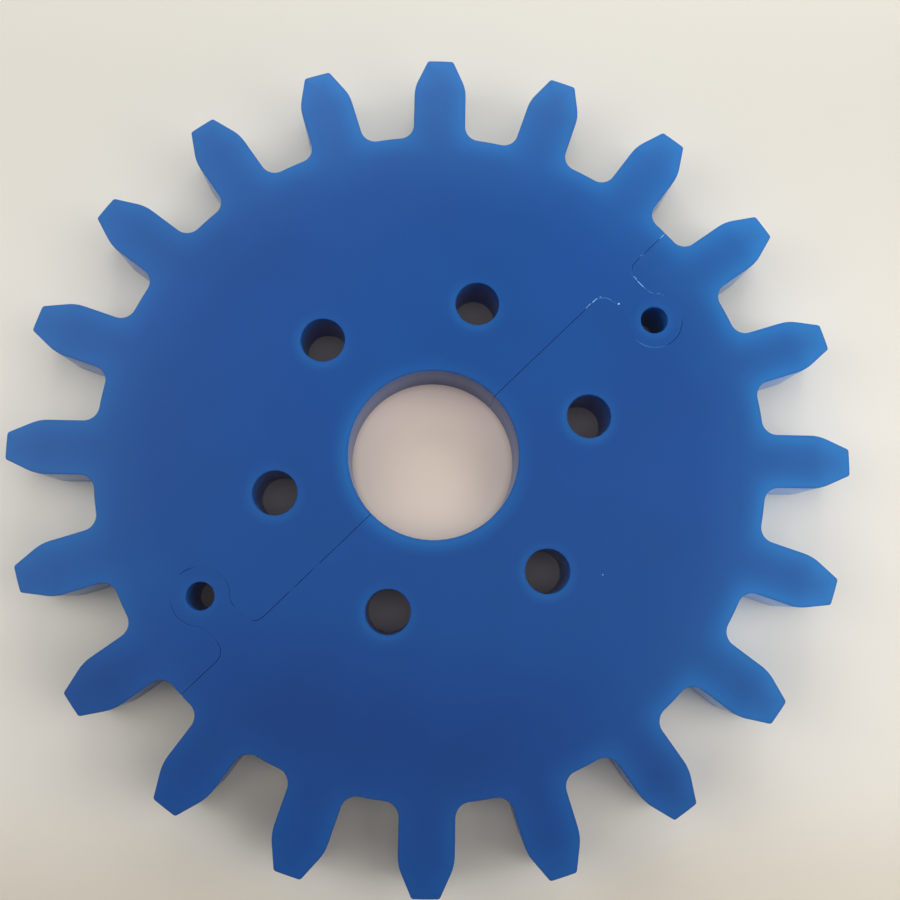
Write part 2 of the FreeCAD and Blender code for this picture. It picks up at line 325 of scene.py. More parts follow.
@dataclass(frozen=True)
class PlateSizes:
    """The plate's outline, in metres, for what follows its edges.

    The thickness, the bore and the holes come from the record, and the sizes of the teeth are given here.
    """

    thickness: float
    bore_radius: float
    bolt_circle_radius: float
    bolt_hole_radius: float
    knob_hole_radius: float
    knob_x: float
    knob_y: float
    outer_radius: float = 125.0 * MM
    tooth_height: float = 25.4 * MM
    tooth_width: float = 16.0 * MM
    tip_width: float = 7.8 * MM
    taper_length: float = 9.0 * MM
    root_radius: float = 4.5 * MM
    teeth: int = 20
    bolts: int = 6

    @classmethod
    def from_record(cls, record: dict) -> "PlateSizes":
        """Reads the bore, the bolt holes and the knob holes from the record's mounts and openings."""
        dims = {mount["name"]: mount["dims"] for mount in record["mounts"]}
        openings = {opening["name"]: opening["box_m"] for opening in record["physics"]["openings"]}
        low, high = (Vector(corner) for corner in openings["rear_knob_hole"])
        knob = (low + high) / 2
        return cls(
            thickness=dims["bore"]["length_mm"] * MM,
            bore_radius=dims["bore"]["r_mm"] * MM,
            bolt_circle_radius=dims["hub_bolts"]["pcd_mm"] / 2 * MM,
            bolt_hole_radius=dims["hub_bolts"]["hole_r_mm"] * MM,
            knob_hole_radius=dims["knob_bolts"]["hole_r_mm"] * MM,
            knob_x=knob.x,
            knob_y=knob.y,
        )


@dataclass(frozen=True)
class OutlineDistance(Effect):
    """How far a point of the plate lies from the outer edge, the bore, the bolt holes and the knob holes.

    Teeth goes from 0 well inside the tooth floor to 1 on the teeth. Depth is measured from the upper face,
    and near the lower face from there, with under_depth added. Radius is measured from the shaft. The
    corners between teeth and tooth floor are rounded over corner_share of the root radius.
    """

    sizes: PlateSizes
    teeth_inside: float = 24.0 * MM
    teeth_outside: float = 12.0 * MM
    under_depth: float = 8.0 * MM
    corner_share: float = 2.3
    name = "outline_distance"
    outputs = ("Outer", "Bore", "Bolt Holes", "Knob Holes", "Depth", "Teeth", "Radius")

    def fold(self, wiring: Wiring, angle: Value, radius: Value, count: int) -> Pair:
        """Folds the plate into half of one of its equal sectors, about the middle of what repeats.

        Args:
            wiring: where the nodes go.
            angle: the point's bearing from the shaft.
            radius: its distance from the shaft.
            count: how often the feature repeats, the first half a spacing from the split line.

        Returns:
            The place along and across the middle line of the sector.
        """
        half = math.pi / count
        shifted = wiring.sum(MathStep.ADD, angle, 2 * math.pi - half)
        folded = wiring.sum(MathStep.FOLD, shifted, half)
        along = wiring.times(radius, wiring.sum(MathStep.COSINE, folded))
        across = wiring.times(radius, wiring.sum(MathStep.SINE, folded))
        return along, across

    def reach(self, wiring: Wiring, first: Value, second: Value) -> Value:
        """Gives the length of a level step."""
        squares = [wiring.times(value, value) for value in (first, second)]
        return wiring.sum(MathStep.ROOT, wiring.sum(MathStep.ADD, *squares))

    def to_circle(self, wiring: Wiring, place: Pair, middle: Pair, radius: float) -> Value:
        """Gives how far a point lies outside a circle.

        Args:
            wiring: where the nodes go.
            place: the point, as two coordinates.
            middle: the same of the circle's middle.
            radius: the circle's radius.

        Returns:
            The distance, which is negative inside the circle.
        """
        step = [wiring.less(own, other) for own, other in zip(place, middle)]
        return wiring.less(self.reach(wiring, *step), radius)

    def to_outer_edge(self, wiring: Wiring, angle: Value, radius: Value) -> Value:
        """Gives how far a point lies inside the edge of the teeth and the tooth floor."""
        size = self.sizes
        along, across = self.fold(wiring, angle, radius, size.teeth)
        half_width, half_tip = size.tooth_width / 2, size.tip_width / 2
        lean = math.atan2(half_width - half_tip, size.taper_length)
        flank = wiring.less(half_width, across)
        beyond = wiring.less(size.outer_radius - size.taper_length, along)
        taper = wiring.gather(wiring.times(flank, math.cos(lean)), (beyond, math.sin(lean)))
        tip = wiring.less(size.outer_radius, radius)
        tooth = wiring.sum(MathStep.LOWEST, wiring.sum(MathStep.LOWEST, flank, taper), tip)
        floor = wiring.less(size.outer_radius - size.tooth_height, radius)
        return wiring.sum(MathStep.SOFT_HIGHEST, tooth, floor, self.corner_share * size.root_radius)

    def build(self, wiring: Wiring, given: Sockets, results: Sockets) -> None:
        """Works out each distance from the point's place on the plate."""
        size = self.sizes
        x, y, z = wiring.parts(given["Place"])
        angle = wiring.sum(MathStep.ANGLE, y, x)
        radius = self.reach(wiring, x, y)
        wiring.feed(results["Outer"], self.to_outer_edge(wiring, angle, radius))
        wiring.feed(results["Bore"], wiring.less(radius, size.bore_radius))

        folded = self.fold(wiring, angle, radius, size.bolts)
        hole = (size.bolt_circle_radius, 0.0)
        wiring.feed(results["Bolt Holes"], self.to_circle(wiring, folded, hole, size.bolt_hole_radius))
        same_side = wiring.times(y, wiring.sum(MathStep.SIGN, x))
        mirrored = (wiring.sum(MathStep.SIZE, x), same_side)
        knob = (size.knob_x, size.knob_y)
        wiring.feed(results["Knob Holes"], self.to_circle(wiring, mirrored, knob, size.knob_hole_radius))

        floor = size.outer_radius - size.tooth_height
        teeth = wiring.ramp(radius, floor - self.teeth_inside, floor + self.teeth_outside)
        wiring.feed(results["Teeth"], teeth)
        from_top = wiring.less(size.thickness, z)
        from_under = wiring.sum(MathStep.ADD, z, self.under_depth)
        depth = wiring.sum(MathStep.HIGHEST, wiring.sum(MathStep.LOWEST, from_under, from_top), 0.0)
        wiring.feed(results["Depth"], depth)
        wiring.feed(results["Radius"], radius)


@dataclass(frozen=True)
class PaintedRimGlow(Effect):
    """A painted glow that stands in for light coming in through the walls: a paler rim, most where they
    face the light.

    Bearings are in degrees. A side is how far a point lies towards a bearing, from -1 to 1 over the plate,
    and bands are of such sides, apart from tip_band, which is measured inward from the tip circle. Each rim
    has a name, the distance over which its glow fades, and its strength.
    """

    sizes: PlateSizes
    window_bearing: float = 42.0
    wall_bearing: float = 10.0
    shade_bearing: float = 36.0
    glare_bearing: float = 95.0
    right_bearing: float = 300.0
    left_bearing: float = 140.0
    rims: tuple[tuple[str, float, float], ...] = (
        ("Outer", 8.0 * MM, 0.45),
        ("Bore", 6.3 * MM, 0.52),
        ("Bolt Holes", 4.0 * MM, 0.34),
        ("Knob Holes", 3.6 * MM, 0.25),
    )
    falloff: float = 2.0
    edge_line: float = 1.2 * MM
    edge_share: float = 0.45
    away_share: float = 0.25
    down_share: float = 0.4
    step: float = 0.2 * MM
    teeth_share: float = 0.24
    tip_share: float = 0.09
    right_tip_share: float = 0.13
    tip_band: Band = (13.0 * MM, 4.0 * MM)
    right_band: Band = (0.25, 0.7)
    right_even: float = 0.70
    right_gain: float = 0.30
    left_band: Band = (0.2, 0.6)
    left_even: float = 0.35
    left_loss: float = 0.36
    left_teeth_loss: float = 0.25
    dark_teeth_band: Band = (-0.8, 0.0)
    dark_teeth_share: float = 0.65
    dark_rim_band: Band = (-0.9, -0.2)
    dark_rim_share: float = 0.7
    name = "painted_rim_glow"
    outputs = ("Glow", "Teeth Glow", "Shade Side", "Haze Side", "Right Side", "Depth", "Radius")

    def side(self, wiring: Wiring, place: Value, bearing: float) -> Value:
        """Tells how far towards a bearing a point lies, from -1 to 1 across the plate."""
        along = wiring.combine("DOT_PRODUCT", place, toward(bearing))["Value"]
        return wiring.sum(MathStep.OVER, along, self.sizes.outer_radius)

    def glow(self, wiring: Wiring, here: Sockets, there: Sockets, even: Value) -> Value:
        """Gives the strongest painted glow of the rims.

        Args:
            wiring: where the nodes go.
            here: the distances to the rims.
            there: the same a small step nearer the light.
            even: the share of a rim's glow that stays where its wall faces away from the light.

        Returns:
            The glow, from 0 to 1.
        """
        down = wiring.times(here["Depth"], self.down_share)
        glow: Value = 0.0
        for feature, fade, strength in self.rims:
            gained = wiring.less(here[feature], there[feature])
            faces = wiring.ramp(gained, -self.step, self.step, even, 1.0)
            faces = wiring.times(faces, strength)
            from_rim = wiring.sum(MathStep.ADD, here[feature], down)
            near = wiring.less(1.0, wiring.sum(MathStep.OVER, from_rim, fade))
            near = wiring.sum(MathStep.LOWEST, wiring.sum(MathStep.HIGHEST, near, 0.0), 1.0)
            near = wiring.sum(MathStep.POWER, near, self.falloff)
            line = wiring.ramp(from_rim, 0.0, self.edge_line, self.edge_share, 1.0)
            share = wiring.times(wiring.times(near, faces), line)
            glow = wiring.sum(MathStep.HIGHEST, glow, share)
        return glow

    def build(self, wiring: Wiring, given: Sockets, results: Sockets) -> None:
        """Paints the glow on the rims by their walls, and on the teeth as a whole, by the side of the
        plate.
        """
        place = given["Place"]
        nearer = wiring.combine("ADD", place, toward(self.wall_bearing) * self.step)[0]
        outline = OutlineDistance(self.sizes)
        here = outline.place(wiring, Place=place)
        there = outline.place(wiring, Place=nearer)
        lit_side = self.side(wiring, place, self.window_bearing)
        right_side = self.side(wiring, place, self.right_bearing)
        right = wiring.ramp(right_side, *self.right_band)
        left = wiring.ramp(self.side(wiring, place, self.left_bearing), *self.left_band)

        # Painted glow on the rims: stronger on the right, weaker on the left and away from the window.
        even = wiring.gather(self.away_share, (right, self.right_even), (left, self.left_even))
        glow = self.glow(wiring, here, there, even)
        glow = wiring.times(glow, wiring.ramp(lit_side, *self.dark_rim_band, self.dark_rim_share))
        kept = wiring.gather(1.0, (left, -self.left_loss), (right, self.right_gain))
        wiring.feed(results["Glow"], wiring.times(glow, kept))

        # Painted glow over the teeth and their tips: weaker away from the window and on the left.
        tip_start, tip_end = (self.sizes.outer_radius - inward for inward in self.tip_band)
        tips = wiring.ramp(here["Radius"], tip_start, tip_end)
        tips = wiring.times(tips, wiring.gather(self.tip_share, (right, self.right_tip_share)))
        broad = wiring.gather(tips, (here["Teeth"], self.teeth_share))
        dark = wiring.ramp(lit_side, *self.dark_teeth_band, self.dark_teeth_share)
        broad = wiring.times(broad, dark)
        kept = wiring.gather(1.0, (left, -self.left_teeth_loss))
        wiring.feed(results["Teeth Glow"], wiring.times(broad, kept))

        wiring.feed(results["Shade Side"], self.side(wiring, place, self.shade_bearing))
        wiring.feed(results["Haze Side"], self.side(wiring, place, self.glare_bearing))
        wiring.feed(results["Right Side"], right_side)
        wiring.feed(results["Depth"], here["Depth"])
        wiring.feed(results["Radius"], here["Radius"])


@dataclass(frozen=True)
class SheetGrain(Effect):
    """The skin of skived sheet: a fine even grain, faint long blade lines and a soft mottle."""

    grain: NoiseKind = (2600.0, 3.0, 0.6)
    mottle: NoiseKind = (28.0, 3.0, 0.55)
    blade: NoiseKind = (1.0, 2.0, 0.5)
    blade_stretch: Triple = (6.0, 1500.0, 1.0)
    blade_turn: float = 8.0
    blade_share: float = 0.6
    name = "sheet_grain"
    outputs = ("Height", "Mottle", "Grain")

    def build(self, wiring: Wiring, given: Sockets, results: Sockets) -> None:
        """Adds the blade lines to the grain, and gives the mottle by itself."""
        place = given["Place"]
        fine = wiring.noise(place, *self.grain)
        lines = wiring.noise(wiring.stretch(place, self.blade_stretch, self.blade_turn), *self.blade)
        wiring.feed(results["Height"], wiring.gather(fine, (lines, self.blade_share)))
        wiring.feed(results["Mottle"], wiring.noise(place, *self.mottle))
        wiring.feed(results["Grain"], fine)


@dataclass(frozen=True)
class CutterMarks(Effect):
    """Marks of the cutter on the walls: fine upright lines, and the step between two passes.

    A surface counts as a wall by how little its normal points up or down.
    """

    wall_band: Band = (0.6, 0.35)
    lines: NoiseKind = (1.0, 2.0, 0.5)
    line_stretch: Triple = (900.0, 900.0, 14.0)
    step_reach: float = 0.12 * MM
    step_share: float = 0.5
    name = "cutter_marks"
    inputs = (
        ("Place", "NodeSocketVector", 0.0),
        ("Normal", "NodeSocketVector", 0.0),
        ("Step Height", "NodeSocketFloat", 10.0 * MM),
    )
    outputs = ("Height", "Wall")

    def build(self, wiring: Wiring, given: Sockets, results: Sockets) -> None:
        """Stretches a fine noise upright and finds the walls by their normal."""
        upward = wiring.sum(MathStep.SIZE, wiring.parts(given["Normal"])["Z"])
        wall = wiring.ramp(upward, *self.wall_band)
        lines = wiring.noise(wiring.stretch(given["Place"], self.line_stretch), *self.lines)
        level = wiring.less(wiring.parts(given["Place"])["Z"], given["Step Height"])
        step = wiring.ramp(level, -self.step_reach, self.step_reach)
        height = wiring.gather(lines, (step, self.step_share))
        wiring.feed(results["Height"], wiring.times(height, wall))
        wiring.feed(results["Wall"], wall)


@dataclass(frozen=True)
class Handling(Effect):
    """What handling leaves: thin pale scratches and a few specks of dust.

    A set of scratches is given by its bearing in degrees and by how its noise is squeezed. A speck lies at
    the middle of a cell, speck_band of a cell across, and only few cells have one.
    """

    scratches: tuple[tuple[float, Triple], ...] = (
        (25.0, (22.0, 2600.0, 22.0)),
        (-62.0, (30.0, 3200.0, 30.0)),
    )
    scratch_noise: NoiseKind = (1.0, 0.0, 0.5)
    scratch_band: Band = (0.83, 0.88)
    cell_scale: float = 90.0
    speck_band: Band = (0.03, 0.012)
    speckless: float = 0.93
    name = "handling"
    outputs = ("Scratches", "Specks")

    def build(self, wiring: Wiring, given: Sockets, results: Sockets) -> None:
        """Cuts thin lines out of two stretched noises, and dots out of cells."""
        marks: Value = 0.0
        for turn, scale in self.scratches:
            field = wiring.noise(wiring.stretch(given["Place"], scale, turn), *self.scratch_noise)
            marks = wiring.sum(MathStep.HIGHEST, marks, wiring.ramp(field, *self.scratch_band))
        wiring.feed(results["Scratches"], marks)
        cells = wiring.add("ShaderNodeTexVoronoi", feature="F1")
        wiring.feed_all(cells, {"Vector": given["Place"], "Scale": self.cell_scale})
        near = wiring.ramp(cells.outputs["Distance"], *self.speck_band)
        shades = wiring.add("ShaderNodeSeparateColor")
        wiring.feed(shades.inputs[0], cells.outputs["Color"])
        rare = wiring.sum(MathStep.ABOVE, shades.outputs[0], self.speckless)
        wiring.feed(results["Specks"], wiring.times(near, rare))


@dataclass(frozen=True)
class BluePlastic:
    """Satin blue plate plastic, with a painted glow near its edges for light let through, and painted glare
    and shade.

    Bands are of the sides of the plate, as for the painted rim glow, apart from wall_band, which is in
    metres from the shaft, and mottle_band and grain_band, which are of noises. The outer walls are painted
    paler than the faces, a painted light, most so at the far right, and painted shade makes them less so
    away from the window.
    """

    sizes: PlateSizes
    deep: str = "004791"
    # Painted glow over the teeth.
    teeth: str = "3080C4"
    # Painted glow along the rims.
    rim: str = "1C84D2"
    # Painted glare: a faint warm veil on one side of the plate.
    painted_glare: str = "A08468"
    # Painted light on the outer walls.
    wall: str = "5CB4FF"
    speck: str = "9DB7DD"
    # Painted shade: the colour darker on the side away from the window.
    shade: Tint = (0.78, 0.68, 0.79)
    shade_band: Band = (-0.35, -0.70)
    glare_band: Band = (0.1, 0.9)
    glare_share: float = 0.03
    wall_band: Band = (70.0 * MM, 95.0 * MM)
    wall_share: float = 0.24
    dim_band: Band = (-0.9, -0.3)
    dim_share: float = 0.35
    painted_right_band: Band = (0.68, 0.83)
    painted_right_share: float = 0.40
    mottle_band: Band = (0.3, 0.7)
    mottle_range: Band = (0.96, 1.04)
    scratch_share: float = 0.015
    roughness: float = 0.42
    grain_band: Band = (0.2, 0.8)
    grain_roughness: float = 0.05
    wall_smoothness: float = 0.1
    wall_coat: float = 0.7
    upper_coat_share: float = 0.3
    coat_depth: float = 10.0 * MM
    coat_roughness: float = 0.3
    gloss: float = 0.26
    refraction: float = 1.5
    bump_strength: float = 0.25
    bump_height: float = 0.03 * MM

    def colour(self, wiring: Wiring, rim: Sockets, paleness: Value, mottle: Value, wear: Sockets) -> Value:
        """Mixes the colour of the plastic, with its painted glow, glare and shade.

        Args:
            wiring: the material's wiring.
            rim: what PaintedRimGlow gives.
            paleness: how much a wall is painted paler, a painted light, and 0 on the faces.
            mottle: a soft random value.
            wear: what Handling gives.

        Returns:
            The colour.
        """
        # Painted glow over the teeth and along the rims.
        body = wiring.blend(rim["Teeth Glow"], tone(self.deep), tone(self.teeth))
        body = wiring.blend(rim["Glow"], body, tone(self.rim))
        # Painted light on the outer walls.
        body = wiring.blend(paleness, body, tone(self.wall))
        # Painted glare: a faint warm veil on one side of the plate.
        painted_glare_mask = wiring.ramp(rim["Haze Side"], *self.glare_band, 0.0, self.glare_share)
        body = wiring.blend(painted_glare_mask, body, tone(self.painted_glare))
        # Painted shade: the colour darker on the side away from the window.
        shaded = wiring.ramp(rim["Shade Side"], *self.shade_band)
        body = wiring.blend(shaded, body, (*self.shade, 1.0), "MULTIPLY")
        mottled = wiring.grey(wiring.ramp(mottle, *self.mottle_band, *self.mottle_range))
        body = wiring.blend(1.0, body, mottled, "MULTIPLY")
        scratched = wiring.times(wear["Scratches"], self.scratch_share)
        marked = wiring.sum(MathStep.HIGHEST, scratched, wear["Specks"])
        return wiring.blend(marked, body, tone(self.speck))

    def material(self, name: str, shift: float) -> bpy.types.Material:
        """Builds the plastic.

        Args:
            name: the material's name.
            shift: how far its patterns lie from those of another piece, in metres.

        Returns:
            The material.
        """
        made, wiring, shader = new_material(name)
        place = wiring.add("ShaderNodeTexCoord").outputs["Object"]
        moved = wiring.add("ShaderNodeMapping")
        wiring.feed_all(moved, {"Vector": place, "Location": (shift, shift, 0.0)})
        own = moved.outputs["Vector"]
        normal = wiring.add("ShaderNodeNewGeometry").outputs["Normal"]

        rim = PaintedRimGlow(self.sizes).place(wiring, Place=place)
        middle = {"Step Height": self.sizes.thickness / 2}
        marks = CutterMarks().place(wiring, Place=own, Normal=normal, **middle)
        grain = SheetGrain().place(wiring, Place=own)
        wear = Handling().place(wiring, Place=own)
        wall = marks["Wall"]
        # Painted light on the outer walls, most at the far right, with painted shade away from the window.
        dim = wiring.ramp(rim["Shade Side"], *self.dim_band, self.dim_share)
        outer = wiring.ramp(rim["Radius"], *self.wall_band, 0.0, self.wall_share)
        painted_right_light = wiring.ramp(rim["Right Side"], *self.painted_right_band, 0.0, self.painted_right_share)
        paleness = wiring.times(wall, wiring.gather(painted_right_light, (outer, dim)))
        wiring.feed(shader["Base Color"], self.colour(wiring, rim, paleness, grain["Mottle"], wear))

        smooth, coarse = self.roughness - self.grain_roughness, self.roughness + self.grain_roughness
        rough = wiring.ramp(grain["Grain"], *self.grain_band, smooth, coarse)
        wiring.feed(shader["Roughness"], wiring.gather(rough, (wall, -self.wall_smoothness)))
        upper_coat = self.upper_coat_share * self.wall_coat
        coat = wiring.ramp(rim["Depth"], 0.0, self.coat_depth, upper_coat, self.wall_coat)
        # The coat also thins away from the window, a painted shade on its sheen.
        coat = wiring.times(coat, dim)
        wiring.feed(shader["Coat Weight"], wiring.times(wall, coat))
        shader["Coat Roughness"].default_value = self.coat_roughness
        shader["IOR"].default_value = self.refraction
        shader["Specular IOR Level"].default_value = self.gloss
        height = wiring.sum(MathStep.ADD, grain["Height"], marks["Height"])
        wiring.feed(shader["Normal"], wiring.bump(height, self.bump_strength, self.bump_height))
        return made


@dataclass
class SplitPlate:
    """The two halves of the plate, as they come from the frame."""

    sizes: PlateSizes
    halves: tuple[str, ...] = ("rear_half", "front_half")
    pattern_shift: float = 170.0 * MM

    def dress(self) -> None:
        """Gives each half the plastic, with patterns of its own."""
        plastic = BluePlastic(self.sizes)
        for number, name in enumerate(self.halves):
            piece = frame["nodes"][name]
            made = plastic.material(f"{name}_blue_plastic", number * self.pattern_shift)
            piece.data.materials.clear()
            piece.data.materials.append(made)
            LOG.info("%s: %d faces, blue plastic", name, len(piece.data.polygons))


class SeamLook(Enum):
    """How a stretch of the seam between the halves looks from above."""

    SHUT = "shut"
    FAINT = "faint"
    PALE = "pale"


@dataclass(frozen=True)
class Stretch:
    """A stretch of the seam with plastic drawn over it, in the frame of the right-hand knob.

    An arc has a radius and turns from one bearing to another about its middle, and a straight run goes from
    its middle to its end. Lengths are in metres, angles in degrees.
    """

    look: SeamLook
    middle: tuple[float, float]
    radius: float = 0.0
    bearings: tuple[float, float] = (0.0, 0.0)
    end: tuple[float, float] = (0.0, 0.0)
    width: float = 0.64 * MM


@dataclass(frozen=True)
class SeamPlastic:
    """The drawn plastic of a burr: paler than the plate where it was stretched, and unevenly so."""

    look: SeamLook
    deep: str
    pale: str
    blotches: NoiseKind = (1400.0, 2.0, 0.6)
    blotch_band: Band = (0.35, 0.65)
    roughness: Band = (0.5, 0.65)
    gloss: float = 0.3
    crumple: NoiseKind = (6000.0, 2.0, 0.5)
    bump_strength: float = 0.3
    bump_height: float = 0.02 * MM

    def material(self) -> bpy.types.Material:
        """Builds the finish, blotched along the thread."""
        made, wiring, shader = new_material(f"seam_{self.look.value}_plastic")
        place = wiring.add("ShaderNodeTexCoord").outputs["Object"]
        blotch = wiring.ramp(wiring.noise(place, *self.blotches), *self.blotch_band)
        wiring.feed(shader["Base Color"], wiring.blend(blotch, tone(self.deep), tone(self.pale)))
        wiring.feed(shader["Roughness"], wiring.ramp(blotch, 0.0, 1.0, *self.roughness))
        shader["Specular IOR Level"].default_value = self.gloss
        height = wiring.noise(place, *self.crumple)
        wiring.feed(shader["Normal"], wiring.bump(height, self.bump_strength, self.bump_height))
        return made


@dataclass
class SeamMarks:
    """Threads and crumbs that the cutter left on the seam: they shut it in places and are pale in others.

    neck is half the neck's width, bend the radius of its rounds and head the knob's radius, each up to or
    into the gap. A crumb is given by its place and its radius.
    """

    sizes: PlateSizes
    neck: float = 5.1 * MM
    bend: float = 4.0 * MM
    head: float = 8.55 * MM
    height: float = 0.18 * MM
    sunk_share: float = 0.4
    end_scale: float = 0.35
    segments: int = 8
    arc_step: float = 12.0
    fewest_steps: int = 3
    straight_steps: int = 4
    crumb_shape: Triple = (1.0, 0.75, 0.45)
    crumb_rounds: int = 2
    crumbs: tuple[Triple, ...] = (
        (72.9 * MM, -5.8 * MM, 0.42 * MM),
        (11.0 * MM, -60.0 * MM, 0.20 * MM),
        (88.9 * MM, 0.2 * MM, 0.20 * MM),
        (64.8 * MM, 0.1 * MM, 0.22 * MM),
        (70.4 * MM, -0.3 * MM, 0.18 * MM),
    )
    shut_finish: str = "rear_half_blue_plastic"
    faint_finish: SeamPlastic = SeamPlastic(SeamLook.FAINT, "1653A2", "3F7EC6")
    pale_finish: SeamPlastic = SeamPlastic(SeamLook.PALE, "4B88D2", "A6CBF2")

    def stretches(self) -> dict[int, tuple[Stretch, ...]]:
        """Lays out the threads of the right-hand knob, as 1, and of the left-hand one, as -1."""
        x, y = self.sizes.knob_x, self.sizes.knob_y
        inner, outer = x - self.neck, x + self.neck
        mouth = -self.bend
        fold = y + math.sqrt((self.head + self.bend) ** 2 - (self.neck + self.bend) ** 2)
        burr, burr_end = (outer + 0.5 * MM, mouth + 1.4 * MM), (outer + 0.05 * MM, mouth - 0.4 * MM)
        foot = (outer + self.bend - 0.15 * MM, mouth)
        shut, faint, pale = SeamLook
        right = (
            Stretch(pale, (64.6 * MM, 0.20 * MM), end=(67.4 * MM, 0.24 * MM), width=0.36 * MM),
            Stretch(pale, (66.8 * MM, 0.14 * MM), end=(69.9 * MM, 0.02 * MM), width=0.46 * MM),
            Stretch(faint, (inner - self.bend, mouth), self.bend, (92.0, -4.0)),
            Stretch(faint, (inner, mouth), end=(inner + 0.5 * MM, mouth - 1.6 * MM), width=0.4 * MM),
            Stretch(shut, (inner, mouth), end=(inner, fold)),
            Stretch(shut, (inner - self.bend, fold), self.bend, (0.0, -43.0)),
            Stretch(shut, (x, y), self.head, (137.0, 180.0)),
            Stretch(faint, (x, y), self.head, (180.0, 252.0), width=0.46 * MM),
            Stretch(shut, (x, y), self.head, (312.0, 384.0)),
            Stretch(faint, (x, y), self.head, (24.0, 43.0)),
            Stretch(faint, (outer + self.bend, fold), self.bend, (223.0, 180.0)),
            Stretch(pale, burr, end=burr_end, width=0.5 * MM),
            Stretch(pale, (outer, mouth), end=(outer, fold), width=0.44 * MM),
            Stretch(faint, foot, self.bend, (180.0, 130.0), width=0.30 * MM),
            Stretch(faint, (88.0 * MM, -0.1 * MM), end=(90.2 * MM, -0.1 * MM), width=0.34 * MM),
            Stretch(pale, (96.8 * MM, 0.0), end=(99.3 * MM, 0.0), width=0.46 * MM),
        )
        left = (
            Stretch(shut, (inner - self.bend, mouth), self.bend, (42.0, 0.0)),
            Stretch(shut, (inner, mouth), end=(inner, fold)),
            Stretch(shut, (x, y), self.head, (163.0, 245.0)),
            Stretch(shut, (x, y), self.head, (267.0, 332.0)),
            Stretch(shut, (outer + self.bend, fold), self.bend, (223.0, 180.0)),
            Stretch(shut, (outer, fold), end=(outer, mouth - 2.7 * MM)),
            Stretch(shut, (outer, mouth - 1.9 * MM), end=(outer, mouth - 0.2 * MM)),
            Stretch(shut, (46.0 * MM, 0.0), end=(49.0 * MM, 0.0)),
            Stretch(shut, (56.0 * MM, 0.0), end=(58.5 * MM, 0.0)),
        )
        return {1: right, -1: left}

    def sweep(self, shape: bmesh.types.BMesh, stretch: Stretch, side: int) -> None:
        """Draws a small oval ring along a stretch, pinched and closed at both ends.

        Args:
            shape: the mesh that gets the thread.
            stretch: where it runs.
            side: 1 for the right-hand knob, -1 for the left-hand one, half a turn away.
        """
        middle, end = (Vector((*place, 0.0)) * side for place in (stretch.middle, stretch.end))
        if stretch.radius:
            start, last = (math.radians(bearing) for bearing in stretch.bearings)
            across = toward(stretch.bearings[0]) * side
            first, turn, move = middle + across * stretch.radius, last - start, Vector()
            steps = max(self.fewest_steps, round(abs(math.degrees(turn)) / self.arc_step))
        else:
            first, turn, steps = middle, 0.0, self.straight_steps
            move = (end - middle) / steps
            across = move.cross(UP).normalized()
        axes = Matrix((across, UP, across.cross(UP))).transposed().to_4x4()
        level = UP * (self.sizes.thickness - self.sunk_share * self.height)
        size = Matrix.Diagonal((stretch.width / 2, self.height / 2, 1.0, 1.0))
        ring = bmesh.ops.create_circle(
            shape,
            segments=self.segments,
            radius=1.0,
            matrix=Matrix.Translation(first + level) @ axes @ size,
        )["verts"]
        edges = list({edge for vert in ring for edge in vert.link_edges})
        swept = bmesh.ops.spin(
            shape,
            geom=ring + edges,
            cent=middle,
            axis=UP,
            dvec=move,
            angle=turn,
            steps=steps,
            use_duplicate=False,
        )["geom_last"]
        ends = (ring, [part for part in swept if isinstance(part, bmesh.types.BMVert)])
        rims = (edges, [part for part in swept if isinstance(part, bmesh.types.BMEdge)])
        for verts, rim in zip(ends, rims):
            centre = sum((vert.co for vert in verts), Vector()) / len(verts)
            about = Matrix.Translation(-centre)
            bmesh.ops.scale(shape, vec=(self.end_scale,) * 3, space=about, verts=verts)
            bmesh.ops.contextual_create(shape, geom=rim)

    def crumb(self, shape: bmesh.types.BMesh, place: Triple) -> None:
        """Sets one flat rounded crumb on the face."""
        x, y, radius = place
        flat = Matrix.Diagonal((*self.crumb_shape, 1.0))
        lying = Matrix.Translation((x, y, self.sizes.thickness)) @ flat
        bmesh.ops.create_icosphere(shape, subdivisions=self.crumb_rounds, radius=radius, matrix=lying)

    def build(self) -> None:
        """Makes one piece for each look and gives it its finish."""
        finishes = {
            SeamLook.SHUT: bpy.data.materials[self.shut_finish],
            SeamLook.FAINT: self.faint_finish.material(),
            SeamLook.PALE: self.pale_finish.material(),
        }
        layout = self.stretches()
        for look, finish in finishes.items():
            shape = bmesh.new()
            for side, stretches in layout.items():
                for stretch in stretches:
                    if stretch.look is look:
                        self.sweep(shape, stretch, side)
            if look is SeamLook.PALE:
                for place in self.crumbs:
                    self.crumb(shape, place)
            bmesh.ops.recalc_face_normals(shape, faces=shape.faces)
            for face in shape.faces:
                face.smooth = True
            mesh = bpy.data.meshes.new(f"seam_{look.value}_threads")
            shape.to_mesh(mesh)
            shape.free()
            mesh.materials.append(finish)
            piece = new_piece(mesh.name, mesh)
            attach(piece, "root")
            LOG.info("%s: %d faces", piece.name, len(mesh.polygons))


